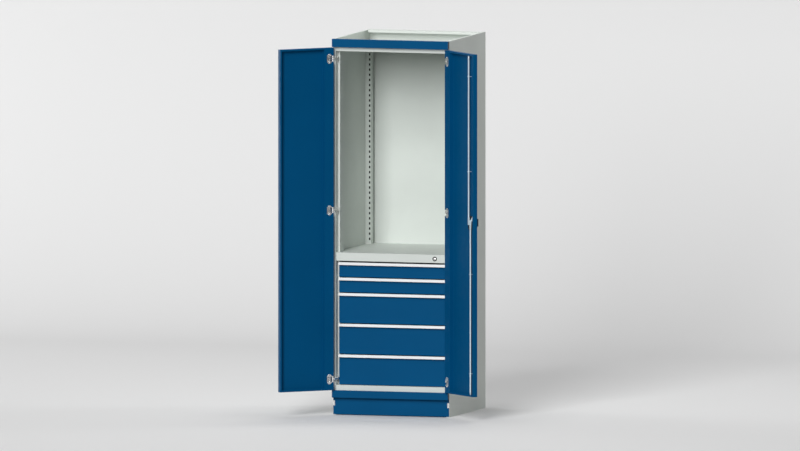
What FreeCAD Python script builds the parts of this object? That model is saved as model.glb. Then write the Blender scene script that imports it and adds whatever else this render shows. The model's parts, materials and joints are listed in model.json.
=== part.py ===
import FreeCAD, Part
import math
import os
import re
import Sketcher

# A tall two-door tool cabinet: open upper compartment, five drawers below, doors swung open.
# Origin: on the floor, midway between the sides and midway between front plane and back.
# +X to the viewer's right, +Y to the back, +Z up. Millimetres and degrees.
# The left half is modelled, and what the right half repeats is mirrored in the plane X = 0.
# Doors and what they carry are modelled shut and then swung open about their hinge axis.

SIZES = (
    # overall
    ("cabinet_width", 590),
    ("carcass_depth", 604),
    ("cabinet_height", 1834),
    ("sheet_wall", 1.5),
    # levels, from the floor up
    ("plinth_height", 84),
    ("fascia_gap", 1),
    ("low_fascia_height", 35),
    ("sill_height", 25),
    ("top_fascia_height", 39),
    ("tray_depth", 60),
    ("front_reach", 23.5),
    # side panels and slotted uprights
    ("front_flange", 14),
    ("front_return", 33),
    ("rear_flange", 20),
    ("rim_flange", 12),
    ("front_post_inset", 25),
    ("front_post_depth", 60),
    ("rear_post_inset", 31),
    ("rear_post_depth", 37),
    ("rear_post_gap", 37),
    ("rear_post_lip", 29),
    ("slot_width", 8),
    ("slot_height", 12),
    ("slot_pitch", 25),
    ("slot_edge", 4),
    # back panel
    ("back_flange", 60),
    ("back_lip", 12),
    ("wall_hole_diameter", 9),
    ("wall_hole_spacing", 400),
    ("wall_hole_drop", 130),
    # base and plinth
    ("base_flange", 40),
    ("plinth_inset", 1),
    ("plinth_floor_gap", 3),
    ("plinth_flange", 15),
    ("clip_width", 8.5),
    ("clip_height", 25),
    ("clip_level", 45),
    ("clip_thickness", 2.5),
    # shelf over the drawers
    ("apron_height", 40),
    ("apron_gap", 8),
    ("apron_setback", 3),
    ("apron_return", 17),
    ("seat_gap", 0.3),
    # doors
    ("door_gap", 2),
    ("centre_gap", 1),
    ("door_side_gap", 0.5),
    ("door_clearance", 1.5),
    ("door_wall", 1.2),
    ("door_lip", 9),
    ("hinge_lip", 50),
    ("door_angle", 135),
    ("pivot_forward", 20),
    # hinges
    ("hinge_end", 54),
    ("mid_hinge_level", 1000),
    ("cup_run", 20),
    ("cup_rise", 10),
    ("arm_pin_inset", 18.8),
    ("arm_pin_depth", 3),
    ("arm_root", 14),
    ("pin_radius", 2),
    ("pin_clearance", 0.05),
    ("open_pin_clearance", 0.3),
    ("link_radius", 3),
    ("swing_height", 8),
    ("link_gap", 0.3),
    ("link_plate", 2),
    ("ear_plate", 2.5),
    ("wing_thickness", 2),
    ("wing_front", 8),
    ("wing_back", 30),
    ("wing_width", 12),
    ("wing_height", 50),
    ("wing_waist", 18),
    ("wing_crop", 4),
    ("cup_inset", 9),
    ("cup_length", 28),
    ("cup_depth", 16.5),
    ("cup_height", 28),
    ("cup_wall", 1.5),
    ("cup_ear_inset", 11),
    ("cup_ear_length", 26),
    ("cup_ear_height", 48),
    ("cup_ear_thickness", 1),
    ("cup_ear_crop", 8),
    # lock of the right door
    ("lock_level", 968),
    ("lock_backset", 51.5),
    ("lock_base_width", 50),
    ("lock_base_height", 66),
    ("lock_base_depth", 8),
    ("spindle_radius", 4),
    ("cam_radius", 13),
    ("cam_thickness", 3),
    ("cam_gap", 0.5),
    ("cam_pin_radius", 2),
    ("tongue_length", 44),
    ("tongue_width", 11),
    ("tongue_angle", 45),
    ("handle_radius", 18.5),
    ("handle_rim_radius", 15),
    ("handle_base", 9),
    ("handle_reach", 31),
    ("handle_grip_width", 11),
    ("handle_grip_rounding", 3),
    ("handle_gap", 0.3),
    ("rod_offset", 9),
    ("rod_width", 15),
    ("rod_thickness", 3),
    ("rod_gap", 0.5),
    ("rod_overlap", 10),
    ("rod_end_gap", 1.5),
    ("rod_slot_play", 0.7),
    ("rod_slot_run", 3),
    ("keeper_play", 2.5),
    ("guide_near", 250),
    ("guide_end", 110),
    ("guide_length", 20),
    ("guide_wall", 2),
    # drawers
    ("large_pitch", 150),
    ("small_pitch", 75),
    ("drawer_gap", 4),
    ("front_thickness", 9),
    ("front_overlap", 1.8),
    ("strip_height", 13),
    ("strip_reach", 15),
    ("strip_wall", 2),
    ("drawer_wall", 1.2),
    ("box_depth", 520),
    ("box_drop", 8),
    ("box_headroom", 27),
    # runners
    ("runner_width", 13),
    ("runner_wall", 1.5),
    ("runner_play", 0.5),
    ("runner_start", 31),
    ("runner_length", 498),
    ("runner_rise", 14),
    ("slide_width", 3.5),
    ("slide_height", 16),
    # drawer lock
    ("drawer_lock_inset", 75),
    ("lock_ring_radius", 11),
    ("lock_ring_reach", 2.5),
    ("lock_barrel_radius", 9.5),
    ("lock_barrel_length", 24),
    ("lock_core_radius", 7),
    ("lock_core_reach", 3),
    ("lock_crank", 8),
    ("lock_crank_plate", 3),
    ("lock_crank_angle", 45),
    ("lock_pin_radius", 2),
    ("lock_pin_play", 0.6),
    ("bar_gap", 0.5),
    ("bar_thickness", 3.5),
    ("bar_width", 16),
    ("bar_setback", 7),
    ("bar_arm_height", 12),
    ("bar_foot", 30),
    ("hook_depth", 6),
    ("hook_height", 8),
    ("hook_level", 35),
    ("hook_play", 2),
    ("catch_reach", 6),
    ("catch_height", 6),
    ("catch_play", 1),
    # every cut runs past its face by this much
    ("cut_over", 2),
)

# Drawers from the bottom up: how many large and small pitches lie below each top edge.
DRAWER_TOPS = ((1, 0), (2, 0), (3, 0), (3, 1), (3, 2))

WORD = re.compile(r"[a-z][a-z_0-9]*")
FUNCTIONS = {"atan", "cos", "deg", "floor", "sin", "sqrt"}
UP = FreeCAD.Vector(0, 0, 1)
BACK = FreeCAD.Vector(0, 1, 0)

doc = FreeCAD.newDocument("tool_cabinet")
nodes = []


def make_sheet():
    """Driving dimensions, one row each, with the name as the cell's alias."""
    sheet = doc.addObject("Spreadsheet::Sheet", "sizes")
    for row, (alias, value) in enumerate(SIZES, 1):
        sheet.set(f"A{row}", alias)
        sheet.set(f"B{row}", str(value))
        sheet.setAlias(f"B{row}", alias)
    doc.recompute()


def tied(text):
    """The expression with each size name pointing at its cell."""
    return WORD.sub(lambda m: m[0] if m[0] in FUNCTIONS else "sizes." + m[0], str(text))


def bind(thing, **expressions):
    """Tie properties to the sheet. A double underscore in a name stands for a dot."""
    for name, text in expressions.items():
        thing.setExpression(name.replace("__", "."), tied(text))
    return thing


def node(name, thing):
    """Name a finished sub-part: its label is its file's name."""
    thing.Label = name
    nodes.append(thing)
    return thing


# Places: X from the left side inwards, Y from the carcass front plane back


def side(text):
    return f"({text}) - cabinet_width / 2"


def deep(text):
    return f"({text}) - carcass_depth / 2"


def sides(low, high):
    return side(low), side(high)


def deeps(low, high):
    return deep(low), deep(high)


def about(centre, half):
    return f"({centre}) - ({half})", f"({centre}) + ({half})"


def plan(points):
    """Outline points from the left side and the front plane."""
    return [(side(x), deep(y)) for x, y in points]


def both_sides(points):
    """The left half of a symmetrical plan outline, front to back, and its mirror image."""
    left = [(side(x), deep(y)) for x, y in points]
    right = [(f"-({x})", y) for x, y in left]
    return right + left[::-1]


def cropped(across, along, crop):
    """A rectangle's outline with its four corners cropped, anticlockwise."""
    (left, right), (low, high) = across, along
    return [
        (f"{left} + {crop}", low),
        (f"{right} - {crop}", low),
        (right, f"{low} + {crop}"),
        (right, f"{high} - {crop}"),
        (f"{right} - {crop}", high),
        (f"{left} + {crop}", high),
        (left, f"{high} - {crop}"),
        (left, f"{low} + {crop}"),
    ]


# Solids


def block(x, y, z):
    """A box between two places on each axis."""
    box = doc.addObject("Part::Box", "block")
    bind(
        box,
        Length=f"({x[1]}) - ({x[0]})",
        Width=f"({y[1]}) - ({y[0]})",
        Height=f"({z[1]}) - ({z[0]})",
        Placement__Base__x=x[0],
        Placement__Base__y=y[0],
        Placement__Base__z=z[0],
    )
    return box


def rod_up(x, y, z, radius):
    """A round bar along Z between two levels."""
    bar = doc.addObject("Part::Cylinder", "rod_up")
    bind(
        bar,
        Radius=radius,
        Height=f"({z[1]}) - ({z[0]})",
        Placement__Base__x=x,
        Placement__Base__y=y,
        Placement__Base__z=z[0],
    )
    return bar


def rod_back(x, y, z, radius):
    """A round bar along Y between two depths."""
    bar = doc.addObject("Part::Cylinder", "rod_back")
    bar.Placement = FreeCAD.Placement(FreeCAD.Vector(), FreeCAD.Rotation(UP, BACK))
    bind(
        bar,
        Radius=radius,
        Height=f"({y[1]}) - ({y[0]})",
        Placement__Base__x=x,
        Placement__Base__y=y[0],
        Placement__Base__z=z,
    )
    return bar


def fuse(*shapes):
    joined = doc.addObject("Part::MultiFuse", "joined")
    joined.Shapes = list(shapes)
    joined.Refine = True
    return joined


def cut(base, *tools):
    trimmed = doc.addObject("Part::Cut", "trimmed")
    trimmed.Base = base
    trimmed.Tool = tools[0] if len(tools) == 1 else fuse(*tools)
    trimmed.Refine = True
    return trimmed


def group(*shapes):
    """Several separate solids in one node."""
    joined = doc.addObject("Part::Compound", "group")
    joined.Links = list(shapes)
    return joined


def mirrored(shape):
    """The right-hand twin of a left-hand shape."""
    twin = doc.addObject("Part::Mirroring", "twin")
    twin.Source = shape
    twin.Normal = (1, 0, 0)
    return twin


def pair(shape):
    return group(shape, mirrored(shape))


def origin_feature(body, role):
    return next(f for f in body.Origin.OriginFeatures if f.Role == role)


def outline(body, plane, points, start):
    """A closed outline on an origin plane, every corner tied to the sheet."""
    sketch = body.newObject("Sketcher::SketchObject", "outline")
    sketch.AttachmentSupport = [(origin_feature(body, plane), "")]
    sketch.MapMode = "FlatFace"
    bind(sketch, AttachmentOffset__Base__z=start)
    count = len(points)
    turn = 2 * math.pi / count
    ring = [FreeCAD.Vector(math.cos(turn * i), math.sin(turn * i), 0) for i in range(count)]
    for i in range(count):
        sketch.addGeometry(Part.LineSegment(ring[i], ring[(i + 1) % count]), False)
    for i in range(count):
        sketch.addConstraint(Sketcher.Constraint("Coincident", i, 2, (i + 1) % count, 1))
    for i, corner in enumerate(points):
        for kind, text, place in zip(("DistanceX", "DistanceY"), corner, (ring[i].x, ring[i].y)):
            index = sketch.addConstraint(Sketcher.Constraint(kind, -1, 1, i, 1, place))
            sketch.setExpression(f"Constraints[{index}]", tied(text))
    return sketch


def pad(body, plane, points, start, length):
    """Extrude an outline from its plane's offset along the plane's normal."""
    feature = body.newObject("PartDesign::Pad", "pad")
    feature.Profile = outline(body, plane, points, start)
    bind(feature, Length=length)
    body.Tip = feature
    return feature


def profile(plane, points, start, length):
    """A folded or drawn section of one outline."""
    body = doc.addObject("PartDesign::Body", "section")
    pad(body, plane, points, start, length)
    return body


def plate(points, z):
    """A flat plate of a plan outline between two levels."""
    return profile("XY_Plane", points, z[0], f"({z[1]}) - ({z[0]})")


def along_x(points, x):
    """A section in the Y-Z plane, run between two places across the cabinet."""
    return profile("YZ_Plane", points, x[0], f"({x[1]}) - ({x[0]})")


def along_y(points, y):
    """A section in the X-Z plane, run between two depths. That plane's normal points forward."""
    return profile("XZ_Plane", points, f"-({y[1]})", f"({y[1]}) - ({y[0]})")


def slot_row(body, plane, points, start, count):
    """Slots through one wall of an upright, repeated up its height."""
    pocket = body.newObject("PartDesign::Pocket", "slot")
    pocket.Profile = outline(body, plane, points, start)
    bind(pocket, Length="2 * sheet_wall")
    body.Tip = pocket
    doc.recompute()
    row = body.newObject("PartDesign::LinearPattern", "slot_row")
    row.Originals = [pocket]
    row.Direction = (origin_feature(body, "Z_Axis"), [""])
    bind(row, Length=f"slot_pitch * ({count} - 1)", Occurrences=count)
    body.Tip = row


def swing(shape, hand):
    """Swing a shut door's piece open about its hinge axis: hand is -1 on the left, 1 on the right."""
    x, y = f"({hand} * cabinet_width / 2)", f"({deep('-pivot_forward')})"
    angle = f"({hand} * door_angle * 1 deg)"
    shape.Placement = FreeCAD.Placement(FreeCAD.Vector(), FreeCAD.Rotation(UP, 1))
    return bind(
        shape,
        Placement__Rotation__Angle=angle,
        Placement__Base__x=f"{x} - {x} * cos({angle}) + {y} * sin({angle})",
        Placement__Base__y=f"{y} - {x} * sin({angle}) - {y} * cos({angle})",
    )


# Levels and places that several pieces share

LOW_FASCIA = ("(plinth_height + fascia_gap)", "(plinth_height + fascia_gap + low_fascia_height)")
TOP_FASCIA = ("(cabinet_height - top_fascia_height)", "cabinet_height")
DOOR = (f"({LOW_FASCIA[1]} + door_gap)", f"({TOP_FASCIA[0]} - door_gap)")
SILL_TOP = f"({LOW_FASCIA[1]} + sill_height)"
CEILING = "(cabinet_height - tray_depth)"
DRAWER_BASE = f"({SILL_TOP} - drawer_gap / 2)"
STACK_TOP = f"({DRAWER_BASE} + 3 * large_pitch + 2 * small_pitch)"
APRON_BOTTOM = f"({STACK_TOP} + apron_gap)"
SHELF_TOP = f"({APRON_BOTTOM} + apron_height)"
BACK_FACE = "(carcass_depth - 2 * sheet_wall)"
REAR_POST = ("(carcass_depth - rear_post_gap - rear_post_depth)", "(carcass_depth - rear_post_gap)")
FRONT_POST = ("front_return", "(front_return + front_post_depth)")
FULL_WIDTH = ("-cabinet_width / 2", "cabinet_width / 2")
HINGE_LEVELS = (f"({DOOR[0]} + hinge_end)", "mid_hinge_level", f"({DOOR[1]} - hinge_end)")
LOCK_X = "(centre_gap / 2 + lock_backset)"


# Carcass


def side_panels():
    """Folded sheet: front flange with a deep return, rear flange, and a rim along the top."""
    body = profile(
        "XY_Plane",
        plan(
            [
                ("0", "0"),
                ("front_flange", "0"),
                ("front_flange", "front_return"),
                ("front_flange - sheet_wall", "front_return"),
                ("front_flange - sheet_wall", "sheet_wall"),
                ("sheet_wall", "sheet_wall"),
                ("sheet_wall", "carcass_depth - sheet_wall"),
                ("rear_flange", "carcass_depth - sheet_wall"),
                ("rear_flange", "carcass_depth"),
                ("0", "carcass_depth"),
            ]
        ),
        "0",
        "cabinet_height",
    )
    rim = [("0", "0"), ("rim_flange", "0"), ("rim_flange", "carcass_depth"), ("0", "carcass_depth")]
    pad(body, "XY_Plane", plan(rim), "cabinet_height - sheet_wall", "sheet_wall")
    node("left_side_panel", body)
    node("right_side_panel", mirrored(body))


def uprights():
    """Uprights behind the front flange and near the back, slotted above the middle shelf."""
    count = f"(floor(({CEILING} - {SHELF_TOP}) / slot_pitch) - 1)"
    first = about(f"{SHELF_TOP} + slot_pitch", "slot_height / 2")
    front = plate(
        plan(
            [
                ("front_flange - sheet_wall", FRONT_POST[0]),
                ("front_post_inset", FRONT_POST[0]),
                ("front_post_inset", FRONT_POST[1]),
                ("sheet_wall", FRONT_POST[1]),
                ("sheet_wall", f"{FRONT_POST[1]} - sheet_wall"),
                ("front_post_inset - sheet_wall", f"{FRONT_POST[1]} - sheet_wall"),
                ("front_post_inset - sheet_wall", f"{FRONT_POST[0]} + sheet_wall"),
                ("front_flange - sheet_wall", f"{FRONT_POST[0]} + sheet_wall"),
            ]
        ),
        (SILL_TOP, CEILING),
    )
    near = deep(f"{FRONT_POST[0]} + sheet_wall + slot_edge")
    far = f"{near} + slot_width"
    slot = [(near, first[0]), (far, first[0]), (far, first[1]), (near, first[1])]
    slot_row(front, "YZ_Plane", slot, side("front_post_inset"), count)
    node("front_uprights", pair(front))

    rear = plate(
        plan(
            [
                ("sheet_wall", REAR_POST[0]),
                ("rear_post_inset", REAR_POST[0]),
                ("rear_post_inset", REAR_POST[1]),
                ("rear_post_inset - rear_post_lip", REAR_POST[1]),
                ("rear_post_inset - rear_post_lip", f"{REAR_POST[1]} - sheet_wall"),
                ("rear_post_inset - sheet_wall", f"{REAR_POST[1]} - sheet_wall"),
                ("rear_post_inset - sheet_wall", f"{REAR_POST[0]} + sheet_wall"),
                ("sheet_wall", f"{REAR_POST[0]} + sheet_wall"),
            ]
        ),
        (SILL_TOP, CEILING),
    )
    inner = side("rear_post_inset - sheet_wall - slot_edge / 2")
    outer = f"{inner} - slot_width"
    slot = [(outer, first[0]), (inner, first[0]), (inner, first[1]), (outer, first[1])]
    slot_row(rear, "XZ_Plane", slot, f"-({deep(REAR_POST[0])})", count)
    node("rear_uprights", pair(rear))


def back_panel():
    """Sheet up to the rim, with a wide flange and lip along the top and two wall-fixing holes."""
    face = "carcass_depth - sheet_wall"
    lip = f"{face} - back_flange"
    section = along_x(
        [
            (deep(face), "0"),
            (deep(face), "cabinet_height"),
            (deep(lip), "cabinet_height"),
            (deep(lip), "cabinet_height - back_lip"),
            (deep(f"{lip} + sheet_wall"), "cabinet_height - back_lip"),
            (deep(f"{lip} + sheet_wall"), "cabinet_height - sheet_wall"),
            (deep(BACK_FACE), "cabinet_height - sheet_wall"),
            (deep(BACK_FACE), "0"),
        ],
        ("rim_flange - cabinet_width / 2", "cabinet_width / 2 - rim_flange"),
    )
    reach = deeps(f"{BACK_FACE} - cut_over", f"{face} + cut_over")
    level = "cabinet_height - wall_hole_drop"
    holes = [
        rod_back(f"{hand} * wall_hole_spacing / 2", reach, level, "wall_hole_diameter / 2")
        for hand in (-1, 1)
    ]
    node("back_panel", cut(section, *holes))


def floor_outline():
    """Plan of a panel that fills the carcass, stepped round the front returns."""
    return both_sides(
        [
            ("front_flange", "0"),
            ("front_flange", "front_return"),
            ("sheet_wall", "front_return"),
            ("sheet_wall", BACK_FACE),
        ]
    )


def front_edge(setback, depth):
    """Plan of a strip along the front, between the front returns."""
    return both_sides([("front_flange", setback), ("front_flange", f"{setback} + {depth}")])


def top_and_bottom():
    """Top panel with its upturned front rail, and bottom panel with its downturned sill."""
    top = plate(floor_outline(), (CEILING, f"{CEILING} + sheet_wall"))
    pad(top, "XY_Plane", front_edge("0", "sheet_wall"), CEILING, "tray_depth")
    node("top_panel", top)
    bottom = plate(floor_outline(), (f"{SILL_TOP} - sheet_wall", SILL_TOP))
    drop = "sill_height + low_fascia_height / 2"
    pad(bottom, "XY_Plane", front_edge("0", "sheet_wall"), f"{SILL_TOP} - ({drop})", drop)
    node("bottom_panel", bottom)


def fascia(name, z, keeper_x, wall_z):
    """Folded strip, open at its ends and back, with a keeper slot for a door rod."""
    front, inner = deep("-front_reach"), deep("sheet_wall - front_reach")
    back = deep("0")
    low, high = f"{z[0]} + sheet_wall", f"{z[1]} - sheet_wall"
    section = along_x(
        [
            (front, z[0]),
            (back, z[0]),
            (back, low),
            (inner, low),
            (inner, high),
            (back, high),
            (back, z[1]),
            (front, z[1]),
        ],
        FULL_WIDTH,
    )
    keeper = block(
        about(keeper_x, "rod_width / 2 + keeper_play"),
        (f"{skin(rod_front())} - keeper_play", f"{skin(rod_front())} + rod_thickness + keeper_play"),
        (f"{wall_z[0]} - cut_over", f"{wall_z[1]} + cut_over"),
    )
    node(name, cut(section, keeper))


def base_frame():
    """U-shaped base, open to the front: floor flange and webs that carry the bottom panel."""
    outer = block(
        sides("sheet_wall", "cabinet_width - sheet_wall"),
        deeps("front_return", BACK_FACE),
        ("0", f"{SILL_TOP} - sheet_wall"),
    )
    inside = block(
        sides("2 * sheet_wall", "cabinet_width - 2 * sheet_wall"),
        deeps("front_return - cut_over", f"{BACK_FACE} - sheet_wall"),
        ("sheet_wall", f"{SILL_TOP} + cut_over"),
    )
    gap = block(
        sides("sheet_wall + base_flange", "cabinet_width - sheet_wall - base_flange"),
        deeps("front_return - cut_over", f"{BACK_FACE} - base_flange"),
        ("-cut_over", "sheet_wall + cut_over"),
    )
    node("base_frame", cut(outer, inside, gap))


def plinth():
    """Removable front of the base, notched at both ends for its spring clips."""
    ends = "cabinet_width / 2 - plinth_inset"
    top = "plinth_height"
    inner = sides("front_flange + seat_gap", "cabinet_width - front_flange - seat_gap")
    wall = block((f"-({ends})", ends), deeps("-sheet_wall", "0"), ("plinth_floor_gap", top))
    folds = [
        block(inner, deeps("-sheet_wall", "plinth_flange"), z)
        for z in (
            ("plinth_floor_gap", "plinth_floor_gap + sheet_wall"),
            (f"{top} - sheet_wall", top),
        )
    ]
    levels = ("clip_level", "clip_level + clip_height")
    notch = block(
        sides("plinth_inset - cut_over", "plinth_inset + clip_width"),
        deeps("-sheet_wall - cut_over", "0"),
        levels,
    )
    node("plinth_panel", cut(fuse(wall, *folds), notch, mirrored(notch)))
    clip = block(
        sides("plinth_inset", "plinth_inset + clip_width - seat_gap"),
        deeps("-clip_thickness", "0"),
        (f"{levels[0]} + seat_gap", f"{levels[1]} - seat_gap"),
    )
    node("plinth_clips", pair(clip))


def middle_shelf():
    """Shelf over the drawers, stepped round the uprights, with an apron that holds the drawer lock."""
    apron = "front_flange + seat_gap"
    near = "front_post_inset + seat_gap"
    far = "rear_post_inset + seat_gap"
    wall = "sheet_wall + seat_gap"
    shelf = plate(
        both_sides(
            [
                (apron, "apron_setback"),
                (apron, f"{FRONT_POST[0]} - seat_gap"),
                (near, f"{FRONT_POST[0]} - seat_gap"),
                (near, f"{FRONT_POST[1]} + seat_gap"),
                (wall, f"{FRONT_POST[1]} + seat_gap"),
                (wall, f"{REAR_POST[0]} - seat_gap"),
                (far, f"{REAR_POST[0]} - seat_gap"),
                (far, f"{REAR_POST[1]} + seat_gap"),
                (wall, f"{REAR_POST[1]} + seat_gap"),
                (wall, f"{BACK_FACE} - seat_gap"),
            ]
        ),
        (f"{SHELF_TOP} - sheet_wall", SHELF_TOP),
    )
    edge = [(apron, "apron_setback"), (apron, "apron_setback + sheet_wall")]
    pad(shelf, "XY_Plane", both_sides(edge), APRON_BOTTOM, "apron_height")
    fold = [(apron, "apron_setback"), (apron, "apron_setback + apron_return")]
    pad(shelf, "XY_Plane", both_sides(fold), APRON_BOTTOM, "sheet_wall")
    hole = rod_back(
        drawer_lock_x(),
        deeps("apron_setback - cut_over", "apron_setback + sheet_wall + cut_over"),
        drawer_lock_z(),
        "lock_barrel_radius + pin_clearance",
    )
    node("middle_shelf", cut(shelf, hole))


# Of half a bar's width, how far the cropped end's flat reaches to each side: a regular octagon's.
CROP_SHARE = "(sqrt(2) - 1)"

# Door hinges. Shut, the cup pin stands cup_run inwards and cup_rise behind the hinge axis. The swing
# link turns with the door about the arm's pin, and the carrier link, which never turns, joins the
# swing link's end to the cup pin, so each hinge is a parallelogram about the hinge axis.


def hinge_mount(level):
    """Wing plate on the side panel's return, with an arm, two ears and the arm's pin."""
    middle = "(wing_front + wing_back) / 2"
    waist = about(level, "wing_waist / 2")
    tips = about(level, "wing_height / 2")
    front, back = deep("wing_front"), deep("wing_back")
    near, far = deep(f"{middle} - wing_width / 2"), deep(f"{middle} + wing_width / 2")
    wings = along_x(
        [
            (front, waist[0]),
            (near, waist[0]),
            (near, f"{tips[0]} + wing_crop"),
            (f"{near} + wing_crop", tips[0]),
            (f"{far} - wing_crop", tips[0]),
            (far, f"{tips[0]} + wing_crop"),
            (far, waist[0]),
            (back, waist[0]),
            (back, waist[1]),
            (far, waist[1]),
            (far, f"{tips[1]} - wing_crop"),
            (f"{far} - wing_crop", tips[1]),
            (f"{near} + wing_crop", tips[1]),
            (near, f"{tips[1]} - wing_crop"),
            (near, waist[1]),
            (front, waist[1]),
        ],
        sides("front_flange", "front_flange + wing_thickness"),
    )
    half = "swing_height / 2 + link_gap + ear_plate"
    arm = block(
        sides("front_flange", "arm_pin_inset + link_radius"),
        deeps("arm_root", "wing_back"),
        about(level, half),
    )
    crop = f"link_radius * {CROP_SHARE}"
    ear = plan(
        [
            ("arm_pin_inset - link_radius", "arm_root + cut_over"),
            ("arm_pin_inset - link_radius", f"arm_pin_depth - {crop}"),
            (f"arm_pin_inset - {crop}", "arm_pin_depth - link_radius"),
            (f"arm_pin_inset + {crop}", "arm_pin_depth - link_radius"),
            ("arm_pin_inset + link_radius", f"arm_pin_depth - {crop}"),
            ("arm_pin_inset + link_radius", "arm_root + cut_over"),
        ]
    )
    ears = [
        plate(ear, (f"{level} - ({half})", f"{level} - ({half}) + ear_plate")),
        plate(ear, (f"{level} + ({half}) - ear_plate", f"{level} + ({half})")),
    ]
    pin = rod_up(side("arm_pin_inset"), deep("arm_pin_depth"), about(level, half), "pin_radius")
    return fuse(wings, arm, pin, *ears)


def bar_link(length, z):
    """Flat link with cropped ends, from the origin along X."""
    crop = f"link_radius * {CROP_SHARE}"
    tail = [(f"-({crop})", "link_radius"), ("-link_radius", crop)]
    tip = [(f"{length} + link_radius", crop), (f"{length} + {crop}", "link_radius")]
    upper = tip + tail
    lower = [(x, f"-({y})") for x, y in reversed(upper)]
    return plate(upper + lower, z)


def place_link(shape, x, y, level, angle):
    shape.Placement = FreeCAD.Placement(FreeCAD.Vector(), FreeCAD.Rotation(UP, 1))
    return bind(
        shape,
        Placement__Rotation__Angle=angle,
        Placement__Base__x=x,
        Placement__Base__y=y,
        Placement__Base__z=level,
    )


def swing_link(level):
    """Middle link on the arm's pin, parallel to the line from the hinge axis to the cup pin."""
    length = "sqrt(cup_run * cup_run + cup_rise * cup_rise)"
    z = about("0", "swing_height / 2")
    reach = (f"{z[0]} - cut_over", f"{z[1]} + cut_over")
    bores = [rod_up(x, "0", reach, "pin_radius + pin_clearance") for x in ("0", length)]
    link = cut(bar_link(length, z), *bores)
    angle = "atan(cup_rise / cup_run) - door_angle * 1 deg"
    return place_link(link, side("arm_pin_inset"), deep("arm_pin_depth"), level, angle)


def carrier_link(level):
    """Pair of plates from the swing link's end to the cup, with a pin there and stub pins here."""
    drop = "(pivot_forward + arm_pin_depth)"
    length = f"sqrt(arm_pin_inset * arm_pin_inset + {drop} * {drop})"
    inner = "swing_height / 2 + link_gap"
    outer = f"{inner} + link_plate"
    tip = "cup_height / 2 - cup_wall - open_pin_clearance"
    plates = [bar_link(length, z) for z in ((f"-({outer})", f"-({inner})"), (inner, outer))]
    pin = rod_up("0", "0", about("0", outer), "pin_radius")
    crop = f"pin_radius * (1 - {CROP_SHARE})"
    section = cropped(about(length, "pin_radius"), about("0", "pin_radius"), crop)
    stubs = [plate(section, z) for z in ((f"-({tip})", f"-({inner})"), (inner, tip))]
    turn = "door_angle * 1 deg"
    x = f"{side('arm_pin_inset')} + cup_run * cos({turn}) + cup_rise * sin({turn})"
    y = f"{deep('arm_pin_depth')} - cup_run * sin({turn}) + cup_rise * cos({turn})"
    angle = f"180 deg + atan({drop} / arm_pin_inset)"
    return place_link(fuse(*plates, pin, *stubs), x, y, level, angle)


def hinge_cup(level):
    """Cup let into the door's hinge-side lip, with screw ears above and below it."""
    lip = "-door_clearance"
    end = "cup_inset + cup_length"
    wall = "cup_wall"
    half = "cup_height / 2"
    shell = block(
        sides("cup_inset", end),
        deeps(f"{lip} - cup_depth", lip),
        about(level, half),
    )
    across = sides("cup_ear_inset", "cup_ear_inset + cup_ear_length")
    ears = along_y(
        cropped(across, about(level, "cup_ear_height / 2"), "cup_ear_crop"),
        deeps(lip, f"{lip} + cup_ear_thickness"),
    )
    inside = block(
        sides("cup_inset - cut_over", f"{end} - {wall}"),
        deeps(f"{lip} - cup_depth + {wall}", f"{lip} + cup_ear_thickness + cut_over"),
        about(level, f"{half} - {wall}"),
    )
    return cut(fuse(shell, ears), inside)


def hinges():
    """Three hinges on each side: mounts on the carcass, links, and cups on the doors."""
    for name, make in (
        ("hinge_mounts", hinge_mount),
        ("swing_links", swing_link),
        ("carrier_links", carrier_link),
    ):
        left = group(*[make(level) for level in HINGE_LEVELS])
        node(f"left_{name}", left)
        node(f"right_{name}", mirrored(left))
    for name, hand in (("left", -1), ("right", 1)):
        cups = group(*[hinge_cup(level) for level in HINGE_LEVELS])
        shut = cups if hand < 0 else mirrored(cups)
        node(f"{name}_hinge_cups", swing(shut, hand))


# Doors


def skin(text):
    """Depth of a point measured from a shut door's outer face."""
    return deep(f"{text} - front_reach")


def skins(low, high):
    return skin(low), skin(high)


def rod_front():
    """Depth of the rods behind the door's outer face, in front of the cam's plate."""
    return "(door_wall + lock_base_depth + cam_gap + cam_thickness + rod_gap)"


def door_pan():
    """A shut left-hand door: folded tray with lips, a boxed hinge side and notches for the hinges."""
    free_edge = "cabinet_width / 2 - centre_gap / 2"
    wall = "door_wall"
    lip = "-door_clearance"
    tray = block(
        sides("door_side_gap", free_edge),
        deeps("-front_reach", lip),
        DOOR,
    )
    hollows = [
        block(
            sides(low, high),
            deeps(f"-front_reach + {wall}", f"{lip} - {wall}"),
            (f"{DOOR[0]} + {wall}", f"{DOOR[1]} - {wall}"),
        )
        for low, high in (
            (f"door_side_gap + {wall}", f"hinge_lip - {wall}"),
            ("hinge_lip", f"{free_edge} - {wall}"),
        )
    ]
    window = block(
        sides("hinge_lip", f"{free_edge} - door_lip"),
        deeps(f"{lip} - {wall} - cut_over", f"{lip} + cut_over"),
        (f"{DOOR[0]} + door_lip", f"{DOOR[1]} - door_lip"),
    )
    notches = [
        block(
            sides("-cut_over", "cup_inset + cup_length + seat_gap"),
            deeps(f"{lip} - cup_depth - seat_gap", f"{lip} + cut_over"),
            about(level, "cup_height / 2 + seat_gap"),
        )
        for level in HINGE_LEVELS
    ]
    return cut(tray, *hollows, window, *notches)


def doors():
    """Plain left door, and right door with its spindle hole and rod slots."""
    node("left_door", swing(door_pan(), -1))
    shut = mirrored(door_pan())
    hole = rod_back(
        LOCK_X,
        skins("-cut_over", "door_wall + cut_over"),
        "lock_level",
        "spindle_radius + pin_clearance",
    )
    slots = []
    for sign, end in ((1, DOOR[1]), (-1, DOOR[0])):
        slots.append(
            block(
                about(rod_x(sign), "rod_width / 2 + rod_gap"),
                skins(f"{rod_front()} - rod_gap", f"{rod_front()} + rod_thickness + rod_gap"),
                about(end, "door_wall + cut_over"),
            )
        )
    node("right_door", swing(cut(shut, hole, *slots), 1))


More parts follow.
